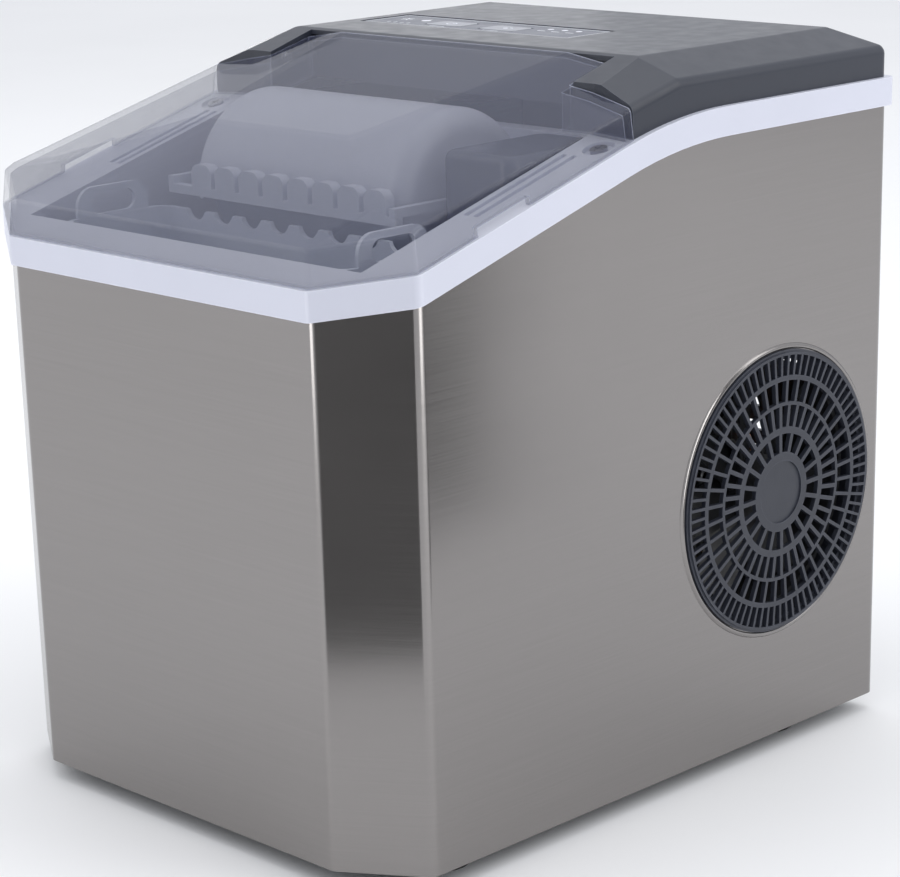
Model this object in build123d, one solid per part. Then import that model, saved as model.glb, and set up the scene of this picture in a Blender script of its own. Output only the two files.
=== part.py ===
from build123d import *
import os
from math import atan, pi

# Millimetres. X to the right, Y to the back, Z up; the floor is Z = 0 under the middle of the body.

# Body
width = 240.0
depth = 295.4
chamfer_x = 33.0
chamfer_y = 21.5
foot_height = 8.0
steel = 0.8
fold_radius = 5.0

# Top edge of the steel: a straight slope from the front, eased into a level rear part
front_rise_z = 220.0
level_z = 265.7
slope = 0.285
ease_radius = 215.0

# White band on top of the steel
band_height = 11.5
band_overhang = 2.2
band_wall = 3.0
ledge = 3.0
well_x = 97.0
well_front = -132.0
well_rear = 11.0

# Lid and cover
lid_skin = 2.3
lid_gap = 0.4
hinge_y = -2.0
hinge_z = 286.5
pin_radius = 1.8
tongue_x = 86.0
tongue_rear = 12.0
seam_y = -10.0
cover_top = 297.0
cover_skin = 2.4

# Control strip
film_x = (-90.0, 33.0)
film_y = (46.0, 76.0)
key_size = (20.0, 13.0)
key_x = (-47.0, -15.0)
key_y = 60.0

# Round side grilles
grille_y = 77.0
grille_z = 114.7
grille_radius = 59.4
# inner radius, outer radius, number of slots, width of the bars, turn of the first bar in degrees
grille_rings = ((16.8, 24.6, 20, 1.8, 2.0), (27.4, 36.4, 40, 1.7, 1.6), (37.8, 46.8, 40, 1.4, 5.0),
                (48.8, 57.2, 80, 1.15, 0.5))

# Ice making
tray_y = -28.0
tray_z = 240.0
tray_radius = 30.0
tray_wall = 1.8
tray_x = (-70.0, 44.0)
dome_radius = 38.0
dome_x = (-76.0, 48.0)
finger_radius = 5.0
finger_bottom = 217.0

basket_y = -101.75

# Cooling
fan_y = grille_y
fan_z = grille_z
fan_radius = 50.0
compressor_at = (-48.0, 88.0)
compressor_radius = 40.0
coil_radius = 3.2
coil_rows = 6
coil_pitch = 18.0


def block(x, y, z):
    """Box between two limits on each axis."""
    size = Box(x[1] - x[0], y[1] - y[0], z[1] - z[0])
    return Pos((x[0] + x[1]) / 2, (y[0] + y[1]) / 2, (z[0] + z[1]) / 2) * size


def post(x, y, z, radius):
    """Upright cylinder between two heights."""
    return Pos(x, y, (z[0] + z[1]) / 2) * Cylinder(radius, z[1] - z[0])


def rod_x(x, y, z, radius):
    """Cylinder along X."""
    return Pos((x[0] + x[1]) / 2, y, z) * Rot(0, 90, 0) * Cylinder(radius, x[1] - x[0])


def rod_y(x, y, z, radius):
    """Cylinder along Y."""
    return Pos(x, (y[0] + y[1]) / 2, z) * Rot(90, 0, 0) * Cylinder(radius, y[1] - y[0])


def outline(grow):
    """Plan of the body: a rectangle with two cut front corners, grown or shrunk."""
    half_x = width / 2
    half_y = depth / 2
    corners = [(-half_x, half_y), (half_x, half_y), (half_x, chamfer_y - half_y),
               (half_x - chamfer_x, -half_y), (chamfer_x - half_x, -half_y),
               (-half_x, chamfer_y - half_y)]
    face = make_face(Polyline(*corners, close=True))
    if grow != 0:
        face = offset(face, amount=grow, kind=Kind.INTERSECTION)
    return fillet(face.vertices(), max(fold_radius + min(grow, 0), 0.4))


def column(grow, low=0.0, high=320.0):
    return Pos(0, 0, low) * extrude(outline(grow), high - low)


def under(rise):
    """Everything below the steel's top edge line raised by some height."""
    bend = (level_z - front_rise_z) / slope - depth / 2
    start = front_rise_z + rise - slope * 60
    front = -depth / 2 - 60
    top = FilletPolyline((front, start), (bend, level_z + rise), (220, level_z + rise), radius=ease_radius)
    sides = Polyline((220, level_z + rise), (220, -20), (front, -20), (front, start))
    return extrude(Plane.YZ * make_face(top + sides), 160, both=True)


def slab(low, high):
    return under(high) - under(low)


def keep_below(body, point, normal):
    return split(body, bisect_by=Plane(origin=point, z_dir=normal), keep=Keep.BOTTOM)


def both_sides(body):
    return body + mirror(body, about=Plane.YZ)


def prism(points, low=200.0, high=310.0):
    return Pos(0, 0, low) * extrude(make_face(Polyline(*points, close=True)), high - low)


# ---------------------------------------------------------------- shell of the body

def feet():
    foot = Cylinder(12, foot_height) - Pos(0, 0, -foot_height / 2) * Cylinder(7, 2.4)
    foot = chamfer(foot.edges().group_by(Axis.Z)[0], 0.8)
    return [Pos(x, y, foot_height / 2) * foot for x in (-97, 97) for y in (-100, 100)]


def base_pan():
    pan = column(-steel - 0.05, foot_height, 26) - column(-steel - 2.6, foot_height + 3, 30)
    for y in (40, 62, 84, 106, 128):
        pan -= block((-60, 60), (y - 2, y + 2), (foot_height - 1, foot_height + 4))
    for x in (-78, -18):
        for y in (58, 118):
            pan += post(x, y, (foot_height + 3, 18), 5)
    return pan - rod_x((-130, -110), -100, 30, 13.2)


def steel_wrap():
    wrap = (column(0, foot_height) - column(-steel, foot_height - 1)) & under(4.0)
    wrap -= block((-110, 110), (140, 150), (26, 300))
    for x in (-113, 113):
        for z in (60, 150, 240):
            wrap -= rod_y(x, (140, 150), z, 1.65)
    wrap -= rod_x((-125, -110), grille_y, grille_z, 57.0)
    wrap -= rod_x((110, 125), grille_y, grille_z, 57.0)
    return wrap - rod_x((-125, -110), -100, 30, 12.6)


def rear_panel():
    inner = depth / 2 - steel
    panel = block((-114.8, 114.8), (inner - 2.5, inner), (26, level_z))
    for row in range(11):
        z = 86 + row * 11
        slot = block((-78, 78), (inner - 4, inner + 1), (z - 2.2, z + 2.2))
        panel -= slot - block((-3, 3), (inner - 5, inner + 2), (z - 4, z + 4))
    panel -= rod_y(-84, (inner - 4, inner + 1), 46, 7.6)
    for x in (-113, 113):
        for z in (60, 150, 240):
            panel -= rod_y(x, (inner - 4, inner + 1), z, 1.6)
    return panel


def panel_screws():
    inner = depth / 2 - steel
    screw = Pos(0, 0, 0.8) * Cylinder(3.2, 1.6) + Pos(0, 0, -3.5) * Cylinder(1.6, 7)
    screw -= Pos(0, 0, 1.6) * (Box(4.2, 0.9, 1.6) + Box(0.9, 4.2, 1.6))
    return [Pos(x, inner + steel, z) * Rot(-90, 0, 0) * screw for x in (-113, 113) for z in (60, 150, 240)]


def cord_gland():
    inner = depth / 2 - steel
    gland = rod_y(-84, (inner - 8, inner), 46, 7.5) + rod_y(-84, (inner, inner + 1.6), 46, 10.5)
    gland += rod_y(-84, (inner - 10, inner - 2.5), 46, 9.2)
    return gland - rod_y(-84, (inner - 12, inner + 4), 46, 3.6)


def round_grille():
    """Grille with its outer face up and its mounting spigot down, centred on Z."""
    disc = Circle(grille_radius)
    for low, high, count, bar, turn in grille_rings:
        ring = Circle(high) - Circle(low)
        middle = (low + high) / 2
        bars = [Rot(0, 0, turn + 360 / count * k) * Pos(middle, 0) * Rectangle(high - low + 4, bar)
                for k in range(count)]
        disc -= ring - bars
    body = extrude(disc, 2.0)
    body += Pos(0, 0, -5) * (Cylinder(56.8, 10) - Cylinder(55.2, 11))
    body -= Pos(0, 0, 2.0) * Cylinder(13.2, 1.4)
    return body - Pos(0, 0, 2.0) * (Cylinder(grille_radius + 1, 1.4) - Cylinder(grille_radius - 1.1, 2))


def side_grille(side):
    return Pos(side * width / 2, grille_y, grille_z) * Rot(0, 90 * side, 0) * round_grille()


# ---------------------------------------------------------------- frame, lid and cover

def top_frame():
    ring = (column(band_overhang, 200) - column(-band_wall, 190)) & slab(0, band_height)
    groove = (column(0.05, 200) - column(-steel - 0.05, 190)) & slab(-1, 4.0)
    rim = column(band_overhang, 200) & slab(band_height - ledge, band_height)
    rim -= block((-well_x, well_x), (well_front, well_rear), (150, 310))
    rim -= block((-108, 108), (well_rear - 0.2, 140), (150, 310))
    frame = ring - groove + rim
    frame += block((-118, 118), (well_rear + 0.2, 20), (261, 265))
    for side in (-1, 1):
        for x in (99.6, 104.6):
            low, high = sorted((side * x, side * (x + 2.6)))
            frame -= block((low, high), (-83, -29), (200, 300)) & slab(band_height - 1.6, band_height + 2)
        frame -= post(side * 110.5, -21, (200, 300), 6.2) & slab(band_height - 1.9, band_height + 2)
    for hole in frame_screws(1.7):
        frame -= hole
    return frame


def frame_screws(shank=1.6):
    height = front_rise_z + slope * (-21 + depth / 2) + band_height - 0.9
    screw = Cylinder(3.4, 1.8) - Pos(0, 0, 0.9) * (Box(4.4, 0.9, 1.4) + Box(0.9, 4.4, 1.4))
    screw = screw + Pos(0, 0, -5.4) * Cylinder(shank, 9.2)
    return [Pos(x, -21, height) * Rot(atan(slope) * 180 / pi, 0, 0) * screw for x in (-110.5, 110.5)]


def lean_plane(point, along, outward, lean):
    """Plane through a point, holding a direction, whose face leans inwards towards the top."""
    a = Vector(*along).normalized()
    o = Vector(*outward).normalized()
    upright = (Vector(0, 0, 1) - o * lean).normalized()
    normal = a.cross(upright).normalized()
    return (point, normal if normal.dot(o) > 0 else normal * -1)


def lid_planes():
    """Outer faces of the lid as a point and an outward direction each; the right side only."""
    chamfer_along = (33, 21.5, 6.4)
    front = lean_plane((0, -149.6, 232), (1, 0, 0), (0, -1, 0), 0.08)
    corner = lean_plane((88, -149.4, 232), chamfer_along, (21.5, -33, 0), 0.12)
    side = lean_plane((121.4, -100, 245.2), (0, 1, 0.27), (1, 0, 0), 0.16)
    front_slope = ((0, -148.2, 245.8), Vector(0, -28.7, 61.2).normalized())
    corner_edge = Vector(33, 21.5, 6.6)
    corner_rise = Vector(-45, 38, 25.5)
    corner_slope = ((86, -147.6, 245.8), corner_edge.cross(corner_rise).normalized())
    side_edge = Vector(0, 1, 0.256)
    side_rise = Vector(-58, 0, 8.9)
    side_slope = ((119, -12, 282.3), side_edge.cross(side_rise).normalized())
    panel = ((0, -87, 274.5), Vector(0, -0.225, 1).normalized())
    return [front, corner, side, front_slope, corner_slope, side_slope, panel]


def lid_hull(inset, rear):
    hull = block((-125, 125), (-155, rear), (180, 305))
    for point, normal in lid_planes():
        moved = Vector(*point) - normal * inset
        hull = keep_below(hull, moved, normal)
        if abs(normal.X) > 0.01:
            opposite = Vector(-moved.X, moved.Y, moved.Z)
            hull = keep_below(hull, opposite, Vector(-normal.X, normal.Y, normal.Z))
    return hull


def lid_plan(back, tongue, seam):
    right = [(tongue, back), (tongue, seam), (98, seam), (130, seam - 4.4), (130, -160)]
    left = [(-x, y) for x, y in reversed(right)]
    return right + left


def soft_lid_hull(inset, rear, radius):
    hull = lid_hull(inset, rear)
    folds = [e for e in hull.edges() if e.center().Z > 222 and e.center().Y < rear - 1]
    return fillet(folds, radius)


def lid():
    shell = soft_lid_hull(0, tongue_rear, 2.0) & prism(lid_plan(30, tongue_x, seam_y), 150, 310)
    inner = soft_lid_hull(lid_skin, 40, 1.0) & prism(lid_plan(40, tongue_x - 2.2, seam_y - 2.2), 150, 310)
    shell -= inner
    foot = Vector(0, -depth / 2, front_rise_z + band_height + lid_gap)
    shell = keep_below(shell, foot, Vector(0, slope, -1).normalized())
    raised = foot + Vector(0, 0, 3.2)
    notch = keep_below(block((100, 130), (-97, -70), (180, 300)), raised, Vector(0, -slope, 1).normalized())
    return shell - both_sides(notch) - both_sides(rod_x((80, 90), hinge_y, hinge_z, pin_radius))


def lid_pins():
    pin = rod_x((tongue_x - 2.2, 96), hinge_y, hinge_z, pin_radius)
    return [pin, mirror(pin, about=Plane.YZ)]


def cover_hull(inset):
    hull = column(-0.4 - inset, 200, 320)
    half = width / 2 - 0.4
    faces = [((0, 0, cover_top), (0, 0, 1)), ((0, -8, 289.5), (0, -0.3, 1)),
             ((0, 147.3, 288.5), (0, 0.72, 1)),
             ((half, -12, 282.3), (0.34, -0.256, 1)), ((half, 0, 289.3), (0.34, 0, 1)),
             ((-half, -12, 282.3), (-0.34, -0.256, 1)), ((-half, 0, 289.3), (-0.34, 0, 1))]
    for point, direction in faces:
        normal = Vector(*direction).normalized()
        hull = keep_below(hull, Vector(*point) - normal * inset, normal)
    return hull


def rounded_cover():
    hull = cover_hull(0)
    creases = [e for e in hull.edges() if e.center().Z > 292 and e.length > 8]
    hull = fillet(creases, 5)
    rim = [e for e in hull.edges() if e.center().Z > 285.5
           and (abs(e.center().X) > 117 or e.center().Y > 146)]
    return fillet(rim, 4)


def cover_plan(front, tongue, seam, outer):
    right = [(tongue, front), (tongue, seam), (98, seam), (130, seam - outer), (130, 160)]
    left = [(-x, y) for x, y in reversed(right)]
    return right + left


def top_cover():
    seam = seam_y + 1.0
    outer = rounded_cover() & prism(cover_plan(14.6, tongue_x + 1, seam, 4.4))
    inner = cover_hull(cover_skin) & prism(cover_plan(19.5, tongue_x + 4, seam + 2.4, 4.0))
    cover = outer - under(band_height) - inner
    cover -= block((-tongue_x - 1, tongue_x + 1), (14, 17), (240, 294.4))
    cover -= block(film_x, film_y, (cover_top - 0.8, cover_top + 1))
    for x in key_x:
        cover -= Pos(x, key_y, cover_top) * Box(key_size[0] + 1.2, key_size[1] + 1.2, 12)
    cover -= both_sides(rod_x((tongue_x, 97), hinge_y, hinge_z, pin_radius + 0.06))
    for x in (-70, 15):
        cover += post(x, 61, (288.2, cover_top - 1), 3.0)
    return cover


def control_film():
    film = block((film_x[0] + 0.2, film_x[1] - 0.2), (film_y[0] + 0.2, film_y[1] - 0.2),
                 (cover_top - 0.8, cover_top - 0.3))
    for x in key_x:
        film -= Pos(x, key_y, cover_top) * Box(key_size[0] + 0.8, key_size[1] + 0.8, 4)
    return film


def key(x):
    cap = Pos(x, key_y, cover_top - 2.0) * Box(key_size[0], key_size[1], 3.6)
    cap = fillet(cap.edges().filter_by(Axis.Z), 2.0)
    return cap + post(x, key_y, (cover_top - 7.0, cover_top - 3.8), 2.4)


def display_board():
    board = block((-78, 24), (48, 74), (286.6, 288.2))
    for x in key_x:
        board += Pos(x, key_y, 288.6) * Box(6, 6, 0.8)
    for k in range(5):
        board += Pos(-2 + 5 * k, 53, 289.2) * Box(2.4, 1.8, 2.0)
    return board


# ---------------------------------------------------------------- wet side

def liner():
    outer = block((-well_x - 2, well_x + 2), (well_front - 2, well_rear + 2), (64, 300))
    outer = fillet(outer.edges().filter_by(Axis.Z), 10)
    inner = block((-well_x, well_x), (well_front, well_rear), (67, 310))
    inner = fillet(inner.edges().filter_by(Axis.Z), 8)
    tub = (outer - inner) & under(band_height - ledge)
    tub -= block((-120, 120), (well_rear - 4, well_rear + 4), (261, 310))
    shelf = block((74, well_x + 0.5), (-128, -64), (158, 162))
    tub += both_sides(shelf)
    tub -= post(-70, -100, (60, 70), 4.0) + post(-44, 0, (60, 70), 4.05)
    tub -= rod_y(-90, (5, 20), 250, 5.65) + rod_y(-81.5, (5, 20), 247, 2.65)
    for z in (168, 178, 188):
        tub += block((-60, 60), (well_front - 0.5, well_front + 1.4), (z, z + 2))
    return tub


def insulation():
    outer = block((-113, 113), (-143, well_rear + 7), (foot_height + 3, 300))
    hole = block((-well_x - 2.3, well_x + 2.3), (well_front - 2.3, well_rear + 2.3), (63.7, 310))
    foam = (outer & column(-3.6, 8, 300)) - hole
    foam &= under(-1.0)
    foam -= block((-130, -60), (-114, -86), (8, 64))
    foam -= block((-52, -36), (-8, 20), (8, 64))
    foam -= rod_y(-90, (5, 20), 250, 5.65) + rod_y(-81.5, (5, 20), 247, 2.65)
    return foam & block((-130, 130), (-160, 30), (8, 256))


def ice_basket():
    low = Pos(0, basket_y, 162.0) * RectangleRounded(158, 45.5, 6)
    high = Pos(0, basket_y, 234) * RectangleRounded(166, 53.5, 8)
    low_in = Pos(0, basket_y, 164.0) * RectangleRounded(154, 41.5, 5)
    high_in = Pos(0, basket_y, 234.2) * RectangleRounded(162, 49.5, 7)
    basket = loft([low.face(), high.face()]) - loft([low_in.face(), high_in.face()])
    for k in range(14):
        x = -71.5 + 11 * k
        basket -= block((x - 2, x + 2), (-130, -64), (176, 214))
    for k in range(4):
        y = basket_y - 16.5 + 11 * k
        basket -= block((-90, 90), (y - 2, y + 2), (176, 206))
    for k in range(15):
        for y in (-15, -5, 5, 15):
            basket -= post(-70 + 10 * k, basket_y + y, (160, 166), 2.0)
    for k in range(8):
        basket -= rod_y(-59.5 + 17 * k, (-80, -70), 236, 6.0)
    grip = block((81.2, 83), (-120, -84), (226, 246))
    grip = fillet(grip.edges().filter_by(Axis.X).group_by(Axis.Z)[-1], 8)
    hole = block((78, 88), (-109, -95), (234.8, 243.2))
    for y in (-109, -95):
        hole += rod_x((78, 88), y, 239, 4.2)
    return basket + both_sides(grip) - both_sides(hole)


def evaporator():
    plate = block((-62, 40), (tray_y - 14, tray_y + 14), (tray_z + 4, tray_z + 10))
    plate = fillet(plate.edges().filter_by(Axis.Z), 5)
    tip = finger_bottom + finger_radius
    for row, y in enumerate((tray_y - 8, tray_y + 8)):
        for k in range(4):
            x = -49 + 25 * k + 6 * row
            plate += post(x, y, (tip, tray_z + 5), finger_radius) + Pos(x, y, tip) * Sphere(finger_radius)
    for x in (-40, 18):
        plate += post(x, tray_y, (tray_z + 10, tray_z + 37), 4.0)
    return plate


def evaporator_cover():
    length = dome_x[1] - dome_x[0]
    middle = (dome_x[0] + dome_x[1]) / 2
    outer = Pos(middle, tray_y, tray_z) * Rot(0, 90, 0) * Cylinder(dome_radius, length)
    inner = Pos(middle, tray_y, tray_z) * Rot(0, 90, 0) * Cylinder(dome_radius - 2, length - 4)
    outer = fillet(outer.edges().filter_by(GeomType.CIRCLE), 9)
    inner = fillet(inner.edges().filter_by(GeomType.CIRCLE), 7)
    cover = (outer - inner) & block((-100, 60), (-80, 20), (tray_z - 4, 300))
    cover -= rod_x((-90, -60), tray_y, tray_z, 4.1)
    cover -= rod_x((40, 60), tray_y, tray_z, 4.1)
    cover -= block((-68, 40), (-80, tray_y), (tray_z - 6, tray_z + 2))
    flange = block((-60, 36), (tray_y + dome_radius - 2.5, well_rear), (tray_z - 14, tray_z - 2))
    for x in (-40, 18):
        cover -= post(x, tray_y, (tray_z + 30, tray_z + 37), 4.0)
        flange -= rod_y(x, (0, 20), tray_z - 9, 1.8)
    cover -= rod_x((-90, -60), tray_y - 6, tray_z + 7, 2.65)
    return cover + flange


def water_tray():
    shell = rod_x(tray_x, tray_y, tray_z, tray_radius)
    shell -= rod_x((tray_x[0] + tray_wall, tray_x[1] - tray_wall), tray_y, tray_z, tray_radius - tray_wall)
    shell &= block((-90, 60), (-70, 20), (180, tray_z - 1))
    for x in (tray_x[0], tray_x[1] - 2.6):
        ear = rod_x((x, x + 2.6), tray_y, tray_z, 6.3)
        shell += ear
    shell += rod_x((tray_x[0] - 6.0, tray_x[0]), tray_y, tray_z, 4.0)
    shell -= rod_x((tray_x[1] - 4, tray_x[1] + 2), tray_y, tray_z, 3.0)
    edge_y = tray_y - tray_radius
    lip = block((tray_x[0] + 4, tray_x[1] - 4), (edge_y - 0.4, edge_y + 3), (tray_z - 7, tray_z - 1))
    return shell + (lip & rod_x(tray_x, tray_y, tray_z, tray_radius))


def drive_shaft():
    shaft = rod_x((tray_x[1] - 4, 66), tray_y, tray_z, 3.0)
    return shaft + rod_x((51, 54), tray_y, tray_z, 5.0)


def motor_housing():
    case = block((56, 95), (-52, 6), (216, 266))
    case = fillet(case.edges().filter_by(Axis.Z), 7)
    case = fillet(case.edges().group_by(Axis.Z)[-1], 4)
    hollow = block((58, 93), (-50, 4), (210, 264))
    hollow = fillet(hollow.edges().filter_by(Axis.Z), 5)
    case -= hollow
    case -= rod_x((54, 60), tray_y, tray_z, 3.4)
    lug = block((93, 97), (-40, -6), (216, 222))
    return case + lug


def tray_motor():
    body = rod_x((64.2, 82), tray_y, tray_z, 17) + block((66, 80), (-48, -2), (230, 250))
    body += block((82, 92), (-34, -12), (232, 248))
    return body - rod_x((60, 66.5), tray_y, tray_z, 3.06)


def ice_shovel():
    bar = block((-80.4, 54), (-73.5, -69.5), (239, 242.6))
    for k in range(8):
        x = -59.5 + 14.6 * k
        tooth = block((x - 6, x + 6), (-73.5, -68.5), (240, 252))
        bar += fillet(tooth.edges().filter_by(Axis.Y).group_by(Axis.Z)[-1], 4)
    for x in (-80.4, 50.6):
        bar += block((x, x + 3.3), (-73.5, -69.5), (239, 245.8))
        bar += block((x, x + 3.3), (-73.5, -38), (242.2, 245.8))
    return bar


def full_sensor():
    body = block((88, well_x), (-76, -62), (196, 214))
    body = fillet(body.edges().filter_by(Axis.X), 3)
    return body + Pos(87.4, -69, 205) * Rot(0, 90, 0) * Cylinder(2.5, 2)


# ---------------------------------------------------------------- pump, drain and hoses

def water_pump():
    body = post(-88, 36, (12, 44), 12)
    body += block((-102, -74), (24, 48), (11, 15))
    body += rod_x((-78, -60), 36, 22, 4.0)
    return body + post(-90, 36, (44, 58), 4.0)


def tube(points, radius, bore, bend):
    path = FilletPolyline(*points, radius=bend)
    start = Plane(origin=path @ 0, z_dir=path % 0)
    ring = Circle(radius) - Circle(bore) if bore > 0 else Circle(radius)
    return sweep(start * ring, path=path)


def pump_hose():
    rising = tube([(-90, 36, 46), (-90, 36, 250), (-90, 8, 250)], 5.6, 4.05, 12)
    feed = tube([(-73, 36, 22), (-56, 36, 22), (-44, 28, 22), (-44, 0, 22), (-44, 0, 64)], 5.6, 4.05, 7)
    return [rising, feed]


def drain_pipe():
    down = tube([(-70, -100, 64), (-70, -100, 30), (-114, -100, 30)], 6.0, 4.0, 12)
    cup = rod_x((-119, -113), -100, 30, 12.5) - rod_x((-121, -115), -100, 30, 10.5)
    cup -= rod_x((-117, -110), -100, 30, 5.9)
    return down + cup - rod_x((-121, -104), -100, 30, 4.0)


def drain_plug():
    head = rod_x((-121.0, -115.4), -100, 30, 10.0)
    head = chamfer(head.edges().group_by(Axis.X)[0], 0.8)
    head -= block((-122, -119.4), (-108, -92), (29.1, 30.9))
    return head + rod_x((-115.4, -106), -100, 30, 3.6)


# ---------------------------------------------------------------- cooling circuit

def compressor():
    x, y = compressor_at
    low, high = 30.0, 146.0
    shell = post(x, y, (low, high), compressor_radius)
    shell = fillet(shell.edges().group_by(Axis.Z)[-1], 20)
    shell = fillet(shell.edges().group_by(Axis.Z)[0], 12)
    shell += post(x, y, (92, 95), compressor_radius + 1.4)
    shell += block((x - 40, x + 40), (y - 38, y + 38), (24.6, 27.6)) + post(x, y, (27, 34), 24)
    for dx in (-30, 30):
        for dy in (-30, 30):
            shell -= post(x + dx, y + dy, (20, 29), 4.2)
    shell += block((x - 14, x + 14), (y - 50, y - 36), (70, 104))
    return shell


def grommets():
    x, y = compressor_at
    ring = Cylinder(6.4, 6.6) - Cylinder(2.2, 8)
    return [Pos(x + dx, y + dy, 21.3) * ring for dx in (-30, 30) for dy in (-30, 30)]


def coil_levels():
    return [66 + coil_pitch * k for k in range(coil_rows)]


def condenser_coil():
    levels = coil_levels()
    coil = None
    for k, z in enumerate(levels):
        run = rod_y(58, (36, 124), z, coil_radius)
        coil = run if coil is None else coil + run
        if k + 1 < len(levels):
            y = 124 if k % 2 == 0 else 36
            turn = Pos(58, y, z + coil_pitch / 2) * Rot(0, 90, 0) * Torus(coil_pitch / 2, coil_radius)
            half = block((50, 66), (y, y + 20), (z - 6, z + 24)) if k % 2 == 0 else \
                block((50, 66), (y - 20, y), (z - 6, z + 24))
            coil += turn & half
    return coil


def condenser_fins():
    fin = block((46, 70), (0, 0.5), (56, 166))
    for z in coil_levels():
        fin -= rod_y(58, (-1, 1), z, coil_radius + 0.02)
    return [Pos(0, 40 + 4 * k, 0) * fin for k in range(20)]


def fan_shroud():
    plate = block((72, 74), (22, 132), (58, 170))
    plate -= rod_x((70, 76), fan_y, fan_z, fan_radius + 1.5)
    ring = rod_x((74, 112), fan_y, fan_z, fan_radius + 3.5)
    ring -= rod_x((73, 113), fan_y, fan_z, fan_radius + 1.5)
    spider = rod_x((74, 77), fan_y, fan_z, 20)
    for angle in (45, 135, 225, 315):
        arm = Pos(75.5, fan_y, fan_z) * Rot(angle, 0, 0) * Pos(0, 0, 35) * Box(3, 7, 36)
        spider += arm
    return plate + ring + spider


def fan_motor():
    body = rod_x((77, 93), fan_y, fan_z, 17)
    body = fillet(body.edges().group_by(Axis.X)[-1], 2)
    return body + rod_x((93, 104), fan_y, fan_z, 2.0)


def fan_blade():
    hub = rod_x((96, 109), fan_y, fan_z, 14) - rod_x((95, 100), fan_y, fan_z, 12)
    hub -= rod_x((94, 104.5), fan_y, fan_z, 2.05)
    for k in range(7):
        blade = Pos(0, 0, 30) * Rot(0, 0, 32) * Box(1.8, 19, 36)
        hub += Pos(102.5, fan_y, fan_z) * Rot(360 / 7 * k, 0, 0) * blade
    return hub & rod_x((94.5, 111), fan_y, fan_z, fan_radius - 1.0)


def filter_drier():
    body = post(20, 122, (70, 118), 9)
    body = fillet(body.edges(), 4)
    return body + post(20, 122, (58, 70.5), 3.0) + post(20, 122, (117.5, 128), 2.0)


def hot_gas_valve():
    body = post(14, 34, (90, 104), 8) + block((2, 26), (24, 46), (104, 128))
    return body + rod_x((-2, 30), 34, 94, 3.2)


def copper_pipes():
    x, y = compressor_at
    discharge = tube([(x + 36, y + 8, 120), (8, y + 8, 120), (8, 136, 120), (34, 136, 120), (34, 136, 174),
                      (58, 136, 174)], 2.6, 0, 5)
    suction = tube([(-62, tray_y - 6, tray_z + 7), (-81.5, tray_y - 6, tray_z + 7), (-81.5, 22, tray_z + 7),
                    (-81.5, 22, 156), (x, 34, 156), (x, y, 156), (x, y, 146)], 2.6, 0, 4)
    capillary = tube([(20, 122, 130), (20, 122, 176), (20, 21, 176), (-66, 21, 176), (-66, 21, 226)],
                     1.4, 0, 6)
    return [discharge - post(x, y, (90, 140), compressor_radius), suction, capillary]


# ---------------------------------------------------------------- electronics

def board_shelf():
    shelf = block((-99, 36), (26, 144.4), (232, 233.4)) + block((-99, 36), (143, 144.4), (226, 233))
    shelf -= post(-90, 36, (228, 236), 6.2)
    for x in (-99, 34.6):
        shelf += block((x, x + 1.4), (26, 144.4), (232, 240))
    return shelf


def main_board():
    board = block((-84, 24), (52, 130), (239, 240.6))
    for x in (-80, 20):
        for y in (56, 126):
            board += post(x, y, (233.4, 239.5), 2.5)
    board += block((-70, -42), (70, 98), (240.6, 262))
    for k in range(3):
        board += block((-20 + 14 * k, -8 + 14 * k), (104, 118), (240.6, 254))
    for k in range(4):
        board += post(-24 + 14 * k, 66, (240.6, 252), 4.5)
    return board


parts = {
    "feet": feet(),
    "base_pan": base_pan(),
    "steel_wrap": steel_wrap(),
    "rear_panel": rear_panel(),
    "rear_panel_screws": panel_screws(),
    "cord_gland": cord_gland(),
    "fan_grille": side_grille(1),
    "intake_grille": side_grille(-1),
    "top_frame": top_frame(),
    "frame_screws": frame_screws(),
    "top_cover": top_cover(),
    "control_film": control_film(),
    "power_key": key(key_x[0]),
    "select_key": key(key_x[1]),
    "display_board": display_board(),
    "lid": lid(),
    "lid_pins": lid_pins(),
    "liner": liner(),
    "insulation": insulation(),
    "ice_basket": ice_basket(),
    "evaporator": evaporator(),
    "evaporator_cover": evaporator_cover(),
    "water_tray": water_tray(),
    "drive_shaft": drive_shaft(),
    "motor_housing": motor_housing(),
    "tray_motor": tray_motor(),
    "ice_shovel": ice_shovel(),
    "full_sensor": full_sensor(),
    "water_pump": water_pump(),
    "pump_hose": pump_hose(),
    "drain_pipe": drain_pipe(),
    "drain_plug": drain_plug(),
    "compressor": compressor(),
    "compressor_grommets": grommets(),
    "condenser_coil": condenser_coil(),
    "condenser_fins": condenser_fins(),
    "fan_shroud": fan_shroud(),
    "fan_motor": fan_motor(),
    "fan_blade": fan_blade(),
    "filter_drier": filter_drier(),
    "hot_gas_valve": hot_gas_valve(),
    "copper_pipes": copper_pipes(),
    "board_shelf": board_shelf(),
    "main_board": main_board(),
}

os.makedirs("parts", exist_ok=True)
for name, shape in parts.items():
    if isinstance(shape, list):
        shape = Compound(children=[s.solid() if len(s.solids()) == 1 else s for s in shape])
    export_step(shape, f"parts/{name}.step")
    box = shape.bounding_box()
    print(name, len(shape.solids()), [round(v, 1) for v in (*box.min, *box.max)])
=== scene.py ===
from math import cos, pi, radians, sin

import bmesh
import bpy
from mathutils import Matrix, Vector


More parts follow.
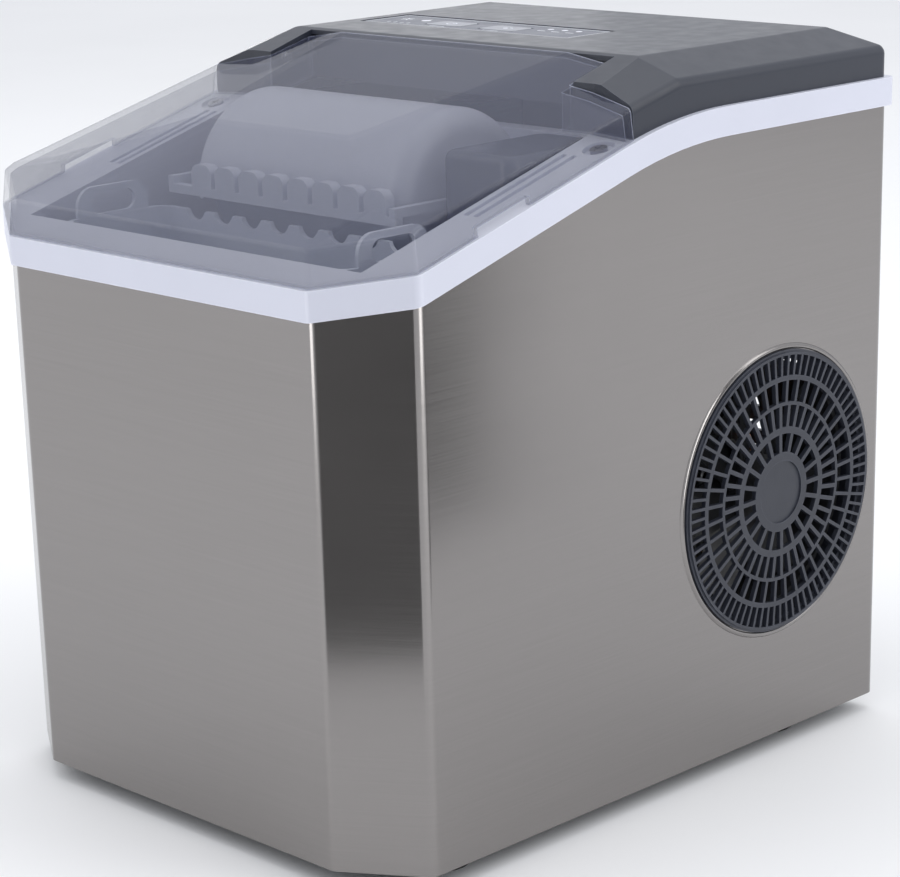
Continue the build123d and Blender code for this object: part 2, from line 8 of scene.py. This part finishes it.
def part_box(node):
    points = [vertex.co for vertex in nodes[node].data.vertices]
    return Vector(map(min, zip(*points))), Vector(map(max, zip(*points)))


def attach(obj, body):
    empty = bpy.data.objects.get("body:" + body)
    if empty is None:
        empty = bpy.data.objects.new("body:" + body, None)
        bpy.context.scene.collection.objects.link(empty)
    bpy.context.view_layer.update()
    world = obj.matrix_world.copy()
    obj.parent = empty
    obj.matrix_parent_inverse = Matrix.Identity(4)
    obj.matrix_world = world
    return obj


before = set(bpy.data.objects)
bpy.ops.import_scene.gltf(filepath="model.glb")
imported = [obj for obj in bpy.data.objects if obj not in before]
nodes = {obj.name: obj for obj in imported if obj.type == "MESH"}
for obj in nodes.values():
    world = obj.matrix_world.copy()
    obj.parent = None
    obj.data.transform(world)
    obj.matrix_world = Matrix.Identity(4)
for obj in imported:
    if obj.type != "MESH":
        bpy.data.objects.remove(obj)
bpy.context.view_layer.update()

PLAIN = (1, 1, 1)            # a texture that is not stretched
INK_DEPTH = 0.00005          # half the thickness of a printed mark, in metres
INK_LINE = 0.0005            # width of a printed line


def srgb(r, g, b):
    """Linear colour from a 0 to 255 screen colour."""
    linear = []
    for value in (r, g, b):
        v = value / 255
        linear.append(v / 12.92 if v <= 0.04045 else ((v + 0.055) / 1.055) ** 2.4)
    return (*linear, 1.0)


# ------------------------------------------------------------------ camera, floor and lights

def camera():
    """The camera, at the solved viewing angle."""
    azimuth, elevation, roll = 0.793098, 0.310638, -0.025398
    place = (0.793988, -0.778513, 0.422803)
    back = Vector((sin(azimuth) * cos(elevation), -cos(azimuth) * cos(elevation), sin(elevation)))
    right = Vector((cos(azimuth), sin(azimuth), 0))
    up = back.cross(right)
    across = right * cos(roll) + up * sin(roll)
    upward = up * cos(roll) - right * sin(roll)
    data = bpy.data.cameras.new("camera")
    data.sensor_fit = "HORIZONTAL"
    data.sensor_width = 36
    data.lens = 108.72
    data.shift_x = 0.00106
    data.shift_y = 0.16711
    data.clip_start = 0.05
    data.clip_end = 60
    eye = bpy.data.objects.new("camera", data)
    turn = Matrix((across, upward, back)).transposed().to_4x4()
    eye.matrix_world = Matrix.Translation(place) @ turn
    bpy.context.scene.collection.objects.link(eye)
    bpy.context.scene.camera = eye


def area_light(name, place, target, size, power, gloss_only=False):
    """A soft box that faces its target. A gloss-only one shows in reflections and lights nothing else."""
    data = bpy.data.lights.new(name, "AREA")
    data.shape = "RECTANGLE"
    data.size, data.size_y = size
    data.energy = power
    lamp = bpy.data.objects.new(name, data)
    lamp.location = place
    lamp.rotation_euler = (Vector(target) - Vector(place)).to_track_quat("-Z", "Y").to_euler()
    lamp.visible_camera = False
    lamp.visible_diffuse = not gloss_only
    bpy.context.scene.collection.objects.link(lamp)


def card(name, middle, along, half_width, height, shade):
    """An upright grey card that stands in for a dark part of the room and shows in gloss only."""
    mesh = bpy.data.meshes.new(name)
    half = Vector(along).normalized() * half_width
    foot = Vector(middle)
    rise = Vector((0, 0, height))
    corners = [foot - half, foot + half, foot + half + rise, foot - half + rise]
    mesh.from_pydata(corners, [], [(0, 1, 2, 3)])
    panel = bpy.data.objects.new(name, mesh)
    bpy.context.scene.collection.objects.link(panel)
    paint = Paint(name, (shade, shade, shade, 1), 0.9)
    paint.mottle(0.2, 0.1)
    mesh.materials.append(paint.mat)
    panel.visible_camera = False
    panel.visible_diffuse = False
    panel.visible_shadow = False
    panel.visible_transmission = False


def studio():
    """Pale floor, pale sky, soft boxes, gloss strips and the two cards."""
    bpy.context.scene.view_settings.view_transform = "Standard"
    reach = 9
    mesh = bpy.data.meshes.new("floor")
    corners = [(-reach, -reach, 0), (reach, -reach, 0), (reach, reach, 0), (-reach, reach, 0)]
    mesh.from_pydata(corners, [], [(0, 1, 2, 3)])
    floor = bpy.data.objects.new("floor", mesh)
    bpy.context.scene.collection.objects.link(floor)
    paint = Paint("studio_floor", (0.9, 0.9, 0.9, 1), 0.8)
    paint.mottle(0.6, 0.02)
    mesh.materials.append(paint.mat)

    world = bpy.data.worlds.new("studio")
    world.use_nodes = True
    sky = world.node_tree.nodes["Background"]
    sky.inputs["Color"].default_value = (0.93, 0.95, 1.0, 1)
    sky.inputs["Strength"].default_value = 0.9
    bpy.context.scene.world = world

    area_light("left_softbox", (-1.6, -1.0, 1.5), (0, 0, 0.1), (1.6, 1.6), 9)
    area_light("right_softbox", (1.6, 0.9, 1.5), (0, 0, 0.1), (1.4, 1.6), 13)
    area_light("rear_strip", (-1.15, 0.8, 0.28), (0, 0, 0.28), (0.8, 0.24), 1.7, True)
    area_light("top_softbox", (0.0, 0.2, 2.1), (0, 0, 0), (1.8, 1.8), 9)
    area_light("front_strip", (-0.16, -0.78, 0.42), (-0.02, -0.1, 0.2), (0.34, 0.9), 3.2, True)
    area_light("side_strip", (0.86, -0.06, 0.42), (0.1, -0.1, 0.2), (0.34, 0.9), 3.2, True)
    card("front_flag", (0.2, -0.385, 0.0), (0.94, 0.34, 0), 0.1, 0.7, 0.19)
    card("side_flag", (0.46, 0.16, 0.0), (0.25, 1, 0), 0.12, 0.7, 0.3)


# ------------------------------------------------------------------ materials

class Paint:
    """A procedural material whose texture is placed in metres on the object."""

    def __init__(self, name, colour, roughness, metallic=0.0):
        self.mat = bpy.data.materials.new(name)
        self.mat.use_nodes = True
        self.tree = self.mat.node_tree
        self.shader = self.tree.nodes["Principled BSDF"]
        self.shader.inputs["Metallic"].default_value = metallic
        self.shader.inputs["Roughness"].default_value = roughness
        self.shader.inputs["Base Color"].default_value = colour
        self.colour = colour
        self.tint = None
        self.place = self.tree.nodes.new("ShaderNodeTexCoord").outputs["Object"]

    def link(self, source, target):
        self.tree.links.new(source, target)

    def stretched(self, stretch):
        """The texture place, scaled along each axis."""
        mapping = self.tree.nodes.new("ShaderNodeMapping")
        mapping.inputs["Scale"].default_value = stretch
        self.link(self.place, mapping.inputs["Vector"])
        return mapping.outputs["Vector"]

    def noise(self, scale, stretch=PLAIN, detail=2.0):
        """A noise value with a scale in cells per metre."""
        node = self.tree.nodes.new("ShaderNodeTexNoise")
        node.inputs["Scale"].default_value = scale
        node.inputs["Detail"].default_value = detail
        self.link(self.stretched(stretch), node.inputs["Vector"])
        return node.outputs["Fac"]

    def spread(self, value, low, high, start=0.3, end=0.7):
        """A value mapped from start and end to low and high, and held at both ends."""
        node = self.tree.nodes.new("ShaderNodeMapRange")
        node.inputs["From Min"].default_value = start
        node.inputs["From Max"].default_value = end
        node.inputs["To Min"].default_value = low
        node.inputs["To Max"].default_value = high
        self.link(value, node.inputs["Value"])
        return node.outputs["Result"]

    def calc(self, how, a, b):
        """One sum or product of two values, each a socket or a number."""
        node = self.tree.nodes.new("ShaderNodeMath")
        node.operation = how
        for socket, value in zip(node.inputs, (a, b)):
            if isinstance(value, (int, float)):
                socket.default_value = value
            else:
                self.link(value, socket)
        return node.outputs[0]

    def blend_colour(self, factor, first, second):
        """Two colours mixed by a factor, each a socket or a colour."""
        node = self.tree.nodes.new("ShaderNodeMix")
        node.data_type = "RGBA"
        self.link(factor, node.inputs["Factor"])
        colour_a, colour_b, mixed = node.inputs[6], node.inputs[7], node.outputs[2]
        for socket, value in ((colour_a, first), (colour_b, second)):
            if isinstance(value, tuple):
                socket.default_value = value
            else:
                self.link(value, socket)
        return mixed

    def set_tint(self, output):
        self.tint = output
        self.link(output, self.shader.inputs["Base Color"])

    def mottle(self, size, amount):
        """Slow variation of the colour over patches of a size in metres."""
        dark = tuple(c * (1 - amount) for c in self.colour[:3]) + (1.0,)
        light = tuple(min(1.0, c * (1 + amount)) for c in self.colour[:3]) + (1.0,)
        shade = self.spread(self.noise(1 / size, detail=3.0), 0.0, 1.0)
        self.set_tint(self.blend_colour(shade, dark, light))

    def over(self, factor, colour):
        """Another colour laid over the tint where a factor says."""
        self.set_tint(self.blend_colour(factor, self.tint or self.colour, colour))

    def rough(self, low, high, size):
        """Roughness that varies over patches of a size in metres."""
        value = self.spread(self.noise(1 / size, detail=4.0), low, high)
        self.link(value, self.shader.inputs["Roughness"])

    def bump(self, height, depth, strength=1.0):
        """Surface relief of a depth in metres."""
        node = self.tree.nodes.new("ShaderNodeBump")
        node.inputs["Strength"].default_value = strength
        node.inputs["Distance"].default_value = depth
        self.link(height, node.inputs["Height"])
        self.link(node.outputs["Normal"], self.shader.inputs["Normal"])

    def edges(self, reach):
        """Factor that rises along convex and concave edges within a reach in metres."""
        soft = self.tree.nodes.new("ShaderNodeBevel")
        soft.samples = 4
        soft.inputs["Radius"].default_value = reach
        plain = self.tree.nodes.new("ShaderNodeNewGeometry")
        dot = self.tree.nodes.new("ShaderNodeVectorMath")
        dot.operation = "DOT_PRODUCT"
        self.link(soft.outputs["Normal"], dot.inputs[0])
        self.link(plain.outputs["Normal"], dot.inputs[1])
        return self.spread(dot.outputs["Value"], 1.0, 0.0, 0.82, 0.99)


def plastic(name, colour, roughness, grain=0.0011, depth=0.00003, wear_and_highlight=None, spread=0.05):
    """Moulded plastic: fine spark-eroded grain, slow flow variation, and edges lightened partly by rubbed
    wear and partly as a painted highlight.
    """
    paint = Paint(name, colour, roughness)
    paint.mottle(0.06, spread)
    paint.rough(roughness - 0.03, roughness + 0.04, 0.008)
    paint.bump(paint.noise(1 / grain, detail=3.0), depth)
    if wear_and_highlight:
        # lighter colour along the edges: rubbed wear on the dark plastics, a painted highlight on the
        # white ones
        wear_and_highlight_mask = paint.calc("MULTIPLY", paint.edges(0.0009), paint.spread(paint.noise(160), 0.0, 0.55))
        paint.over(wear_and_highlight_mask, wear_and_highlight)
    return paint.mat


def metal(name, colour, roughness, stretch=PLAIN):
    """Rolled or drawn metal with a grain that may run one way."""
    paint = Paint(name, colour, roughness, 1.0)
    grain = paint.noise(900, stretch, 4.0)
    paint.mottle(0.03, 0.08)
    paint.over(paint.spread(grain, 0.0, 0.25), tuple(c * 0.7 for c in colour[:3]) + (1.0,))
    paint.rough(roughness - 0.08, roughness + 0.1, 0.012)
    paint.bump(grain, 0.000012)
    return paint.mat


def wrap_steel():
    """Brushed stainless steel: long level hairlines, faint cloudy finger marks."""
    paint = Paint("wrap_steel", (0.27, 0.256, 0.249, 1), 0.2, 1.0)
    hair = paint.noise(1, (22, 22, 5200), 2.0)
    streak = paint.noise(1, (6, 6, 1400), 2.0)
    cloud = paint.noise(9, (1, 1, 1.6), 3.0)
    dark, light = (0.261, 0.248, 0.241, 1), (0.281, 0.267, 0.260, 1)
    paint.set_tint(paint.blend_colour(paint.spread(hair, 0.0, 1.0), dark, light))
    paint.over(paint.spread(streak, 0.0, 0.25), (0.250, 0.238, 0.231, 1))
    base = paint.spread(cloud, 0.15, 0.2)
    paint.link(paint.calc("ADD", base, paint.spread(hair, -0.02, 0.03)), paint.shader.inputs["Roughness"])
    paint.bump(hair, 0.000003, 0.5)
    paint.shader.inputs["Anisotropic"].default_value = 0.3
    return paint.mat


def lid_clear():
    """Smoke-tinted clear plastic with a hard gloss: denser at its folds and where it is seen edge-on, with
    a painted highlight of lighter colour along its folds.
    """
    paint = Paint("lid_clear", srgb(74, 78, 102), 0.05)
    paint.mottle(0.05, 0.04)
    fold_highlight_and_density = paint.edges(0.0012)
    # painted highlight: lighter colour along the lid's folds
    paint.over(paint.calc("MULTIPLY", fold_highlight_and_density, 0.9), srgb(186, 191, 210))
    facing = paint.tree.nodes.new("ShaderNodeLayerWeight")
    facing.inputs["Blend"].default_value = 0.35
    body = paint.spread(facing.outputs["Facing"], 0.19, 0.36, 0.2, 0.45)
    dense = paint.calc("ADD", body, paint.calc("MULTIPLY", fold_highlight_and_density, 0.3))
    paint.link(dense, paint.shader.inputs["Alpha"])
    paint.shader.inputs["IOR"].default_value = 1.9
    paint.rough(0.03, 0.07, 0.02)
    paint.bump(paint.noise(45, detail=1.0), 0.00005, 0.4)
    return paint.mat


def silicone():
    """Milky clear hose with fine ribs along it."""
    paint = Paint("hose_silicone", srgb(224, 226, 224), 0.35)
    paint.mottle(0.01, 0.05)
    paint.rough(0.3, 0.45, 0.006)
    paint.bump(paint.noise(1, (700, 700, 90), 2.0), 0.00002)
    paint.shader.inputs["Alpha"].default_value = 0.85
    return paint.mat


def board():
    """Green circuit board with traces and solder dots."""
    paint = Paint("board_green", srgb(28, 84, 52), 0.35)
    paint.mottle(0.01, 0.08)
    cells = paint.tree.nodes.new("ShaderNodeTexVoronoi")
    cells.inputs["Scale"].default_value = 260
    cells.distance = "MANHATTAN"
    paint.link(paint.place, cells.inputs["Vector"])
    paint.over(paint.spread(cells.outputs["Distance"], 0.9, 0.0, 0.1, 0.16), srgb(196, 186, 150))
    traces = paint.noise(1, (900, 40, 900), 1.0)
    paint.over(paint.spread(traces, 0.0, 0.6, 0.52, 0.56), srgb(50, 112, 74))
    paint.rough(0.28, 0.45, 0.004)
    paint.bump(cells.outputs["Distance"], 0.00008)
    return paint.mat


def foam():
    """White foam of small beads."""
    paint = Paint("foam_white", srgb(226, 224, 214), 0.9)
    paint.mottle(0.02, 0.04)
    cells = paint.tree.nodes.new("ShaderNodeTexVoronoi")
    cells.inputs["Scale"].default_value = 330
    paint.link(paint.place, cells.inputs["Vector"])
    paint.over(paint.spread(cells.outputs["Distance"], 0.0, 0.25, 0.3, 0.7), srgb(190, 188, 178))
    paint.bump(cells.outputs["Distance"], 0.0006)
    return paint.mat


def film():
    """Printed control strip: silver grey with a faint pearl grain."""
    paint = Paint("film_plastic", srgb(98, 101, 111), 0.42)
    paint.mottle(0.03, 0.03)
    paint.over(paint.spread(paint.noise(2600, detail=1.0), 0.0, 0.25), srgb(146, 148, 158))
    paint.rough(0.38, 0.48, 0.01)
    paint.bump(paint.noise(1500, detail=2.0), 0.00001)
    return paint.mat


# Colour, roughness, grain size, relief depth, and for some the colour of the edges, lightened partly by
# wear and partly as a painted highlight, and the mottling.
PLASTICS = {
    "foot_rubber": (srgb(24, 24, 26), 0.72, 0.0006, 0.00005),
    "base_plastic": (srgb(46, 47, 50), 0.55, 0.0012, 0.00005),
    "rear_plastic": (srgb(66, 69, 77), 0.5, 0.0010, 0.00005, srgb(110, 112, 120)),
    "gland_rubber": (srgb(30, 30, 32), 0.65, 0.0008, 0.00005),
    "grille_plastic": (srgb(44, 47, 57), 0.46, 0.0009, 0.00003, srgb(92, 96, 108)),
    "frame_plastic": (srgb(208, 210, 222), 0.36, 0.0012, 0.00002, srgb(246, 248, 255), 0.02),
    "cover_plastic": (srgb(43, 47, 58), 0.33, 0.0007, 0.000004, srgb(88, 92, 104), 0.02),
    "key_plastic": (srgb(150, 152, 160), 0.4, 0.0009, 0.00002, srgb(220, 222, 228)),
    "liner_plastic": (srgb(207, 209, 220), 0.38, 0.0014, 0.000006, srgb(240, 242, 250), 0.02),
    "basket_plastic": (srgb(200, 204, 216), 0.3, 0.0012, 0.00002, srgb(236, 240, 248), 0.02),
    "tray_plastic": (srgb(206, 212, 226), 0.3, 0.0012, 0.00002, srgb(230, 234, 244), 0.02),
    "shovel_plastic": (srgb(204, 207, 218), 0.32, 0.0012, 0.00002, srgb(238, 240, 248), 0.02),
    "sensor_plastic": (srgb(40, 42, 48), 0.3, 0.0009, 0.00003),
    "pump_plastic": (srgb(34, 36, 40), 0.45, 0.0010, 0.00004),
    "pipe_plastic": (srgb(200, 202, 206), 0.4, 0.0010, 0.00003),
    "plug_plastic": (srgb(48, 50, 56), 0.5, 0.0009, 0.00004, srgb(96, 98, 106)),
    "compressor_paint": (srgb(22, 23, 26), 0.32, 0.0022, 0.00006, srgb(70, 70, 74)),
    "shroud_plastic": (srgb(40, 41, 44), 0.5, 0.0011, 0.00005),
    "fan_plastic": (srgb(30, 31, 34), 0.42, 0.0010, 0.00003, srgb(74, 76, 82)),
    # the pale edge colour here is a painted highlight along the motor housing's corners
    "motor_grey": (srgb(84, 87, 98), 0.22, 0.0014, 0.000006, srgb(200, 204, 214), 0.03),
    "mark_ink": (srgb(232, 234, 240), 0.4, 0.0006, 0.00001),
}

# Linear colour, roughness, and for some the stretch of the grain.
METALS = {
    "screw_steel": ((0.52, 0.52, 0.54, 1), 0.3),
    "pin_steel": ((0.6, 0.6, 0.62, 1), 0.22),
    "evaporator_metal": ((0.78, 0.76, 0.72, 1), 0.26),
    "shaft_steel": ((0.56, 0.56, 0.58, 1), 0.25, (0.1, 1, 1)),
    "motor_metal": ((0.42, 0.42, 0.43, 1), 0.4),
    "copper": ((0.72, 0.36, 0.20, 1), 0.3),
    "fin_aluminium": ((0.72, 0.73, 0.75, 1), 0.3),
    "valve_metal": ((0.60, 0.52, 0.30, 1), 0.35),
    "shelf_metal": ((0.55, 0.56, 0.57, 1), 0.34, (0.2, 1, 1)),
}


def make_materials():
    """One material for each record slot, with motor_grey and mark_ink besides."""
    made = {
        "wrap_steel": wrap_steel(),
        "film_plastic": film(),
        "board_green": board(),
        "lid_clear": lid_clear(),
        "foam_white": foam(),
        "hose_silicone": silicone(),
    }
    for name, values in PLASTICS.items():
        made[name] = plastic(name, *values)
    for name, values in METALS.items():
        made[name] = metal(name, *values)
    return made


def dress_frame(materials):
    """Each CAD node gets the material named after its slot. The motor housing is darker than its slot."""
    for node in nodes.values():
        for slot in node.material_slots:
            slot.material = materials[slot.material.name.split(".")[0]]
    nodes["motor_housing"].material_slots[0].material = materials["motor_grey"]


def soften(piece, width):
    """Rounds the sharp edges of a CAD node by a small radius."""
    weld = piece.modifiers.new("weld", "WELD")
    weld.merge_threshold = 0.00001
    bevel = piece.modifiers.new("bevel", "BEVEL")
    bevel.width = width
    bevel.segments = 3
    bevel.limit_method = "ANGLE"
    bevel.angle_limit = radians(28)
    bevel.use_clamp_overlap = True
    smooth = piece.modifiers.new("normals", "WEIGHTED_NORMAL")
    smooth.weight = 100
    smooth.keep_sharp = False


# ------------------------------------------------------------------ added pieces

def add_piece(name, mesh, material, body):
    """A new piece that rides on a body and wears the given material."""
    piece = bpy.data.objects.new(name, mesh)
    mesh.materials.append(material)
    bpy.context.scene.collection.objects.link(piece)
    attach(piece, body)
    return piece


def turned(profile, place):
    """A ring round an axis along X, from a closed profile of (x from the place, radius)."""
    steps = 160
    mesh = bpy.data.meshes.new("turned")
    points = []
    faces = []
    count = len(profile)
    for k in range(steps):
        angle = 2 * pi * k / steps
        for x, radius in profile:
            points.append((place[0] + x, place[1] + radius * sin(angle), place[2] + radius * cos(angle)))
        for j in range(count):
            a, b = k * count + j, k * count + (j + 1) % count
            c, d = (b + count) % (steps * count), (a + count) % (steps * count)
            faces.append((a, b, c, d))
    mesh.from_pydata(points, [], faces)
    mesh.update()
    tidy(mesh)
    for face in mesh.polygons:
        face.use_smooth = True
    return mesh


def tidy(mesh):
    """Faces all turned outwards."""
    work = bmesh.new()
    work.from_mesh(mesh)
    bmesh.ops.recalc_face_normals(work, faces=work.faces)
    work.to_mesh(mesh)
    work.free()


def grille_rims(materials):
    """The rolled steel lip of each round opening."""
    # how far out of the wall, and how far past the grille's radius
    lip = ((-0.0006, 0.0003), (0.0004, 0.0003), (0.0008, 0.0007), (0.0009, 0.0012), (0.0006, 0.0019),
           (0.0, 0.0025), (-0.0006, 0.0027))
    last_corner = 6
    wall = nodes["steel_wrap"].bound_box[last_corner][0]
    low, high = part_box("fan_grille")
    middle_y, middle_z = (low[1] + high[1]) / 2, (low[2] + high[2]) / 2
    radius = (high[2] - low[2]) / 2
    for side, name in ((1, "right_opening_lip"), (-1, "left_opening_lip")):
        profile = [(side * x, radius + past) for x, past in lip]
        mesh = turned(profile, (side * wall, middle_y, middle_z))
        add_piece(name, mesh, materials["wrap_steel"], "housing")


def prism_mesh(loops, low, high):
    """Upright prisms over closed loops of (x, y) points."""
    mesh = bpy.data.meshes.new("prisms")
    points = []
    faces = []
    for loop in loops:
        start = len(points)
        count = len(loop)
        points += [(x, y, low) for x, y in loop] + [(x, y, high) for x, y in loop]
        faces.append(tuple(range(start, start + count)))
        faces.append(tuple(range(start + count, start + 2 * count)))
        for k in range(count):
            n = (k + 1) % count
            faces.append((start + k, start + n, start + count + n, start + count + k))
    mesh.from_pydata(points, [], faces)
    mesh.update()
    tidy(mesh)
    return mesh


def bar(x, y, length, thick, angle):
    """A flat bar with rounded ends, centred on a point."""
    loop = []
    for end in (0, 1):
        for k in range(5):
            turn = -pi / 2 + pi * k / 4 + pi * end
            px = (1 if end == 0 else -1) * (length / 2 - thick / 2) + cos(turn) * thick / 2
            py = sin(turn) * thick / 2
            loop.append((x + px * cos(angle) - py * sin(angle), y + px * sin(angle) + py * cos(angle)))
    return loop


def disc(x, y, radius):
    """A flat round dot."""
    turns = [2 * pi * k / 20 for k in range(20)]
    return [(x + radius * cos(turn), y + radius * sin(turn)) for turn in turns]


def drop(x, y, radius):
    """A water drop with its point up."""
    turns = [2 * pi * k / 18 for k in range(18)]
    loop = [(x + radius * sin(turn), y - radius * cos(turn)) for turn in turns]
    loop[9] = (x, y + 0.004)
    return loop


def control_marks(materials):
    """Generic marks on the control strip: lamps, a snow star, a drop, scale bars and lines by the keys."""
    low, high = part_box("control_film")
    top = high[2]
    upper = low[1] + 0.0215
    star_x = -0.078
    marks = []
    for x in (0.004, 0.012, 0.020):
        marks.append(disc(x, upper, 0.0014))
        marks.append(bar(x, upper - 0.006, 0.0044, 0.0007, 0))
    for k in range(3):
        marks.append(bar(star_x, upper - 0.004, 0.0062, 0.0006, pi * k / 3))
    marks.append(drop(-0.066, upper - 0.0045, 0.0021))
    for k in range(4):
        marks.append(bar(star_x + 0.004 * k, low[1] + 0.006, 0.0024, 0.0006, pi / 2))
    for x in (-0.047, -0.015):
        marks.append(bar(x, low[1] + 0.0045, 0.009, INK_LINE, 0))
    mesh = prism_mesh(marks, top - INK_DEPTH, top + INK_DEPTH)
    add_piece("control_marks", mesh, materials["mark_ink"], "housing")


def control_border(materials):
    """A thin printed line round the control strip."""
    low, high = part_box("control_film")
    top = high[2]
    inset, depth = 0.0016, 0.00004
    half_x, half_y = (high[0] - low[0]) / 2 - inset, (high[1] - low[1]) / 2 - inset
    mid_x, mid_y = (high[0] + low[0]) / 2, (high[1] + low[1]) / 2
    lines = []
    for side in (-1, 1):
        lines.append(bar(mid_x, mid_y + side * half_y, 2 * half_x, INK_LINE, 0))
        lines.append(bar(mid_x + side * half_x, mid_y, 2 * half_y - 0.0012, INK_LINE, pi / 2))
    mesh = prism_mesh(lines, top - depth, top + depth)
    add_piece("control_border", mesh, materials["mark_ink"], "housing")


def power_sign(x, y):
    """A broken ring with a bar in its gap."""
    ring = 0.0022
    loops = []
    for k in range(11):
        turn = pi / 2 + radians(42 + 27.6 * k)
        loops.append(bar(x + ring * cos(turn), y + ring * sin(turn), 0.0014, INK_LINE, turn + pi / 2))
    loops.append(bar(x, y + 0.0018, 0.0024, INK_LINE, pi / 2))
    return loops


def select_sign(x, y):
    """A dot with a short dash to its right and one above it."""
    away = 0.0036
    loops = [disc(x, y, 0.0011)]
    for turn in (0, pi / 2):
        loops.append(bar(x + away * cos(turn), y + away * sin(turn), 0.0015, INK_LINE, turn + pi / 2))
    return loops


def key_marks(materials):
    """The sign on each key, which rides on its key."""
    signs = (("power_key", "power_button", power_sign), ("select_key", "select_button", select_sign))
    for key, body, sign in signs:
        low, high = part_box(key)
        loops = sign((low[0] + high[0]) / 2, (low[1] + high[1]) / 2)
        mesh = prism_mesh(loops, high[2] - INK_DEPTH, high[2] + INK_DEPTH)
        add_piece(key + "_mark", mesh, materials["mark_ink"], body)


materials = make_materials()
camera()
studio()
dress_frame(materials)
soften(nodes["top_frame"], 0.0006)
grille_rims(materials)
control_marks(materials)
control_border(materials)
key_marks(materials)
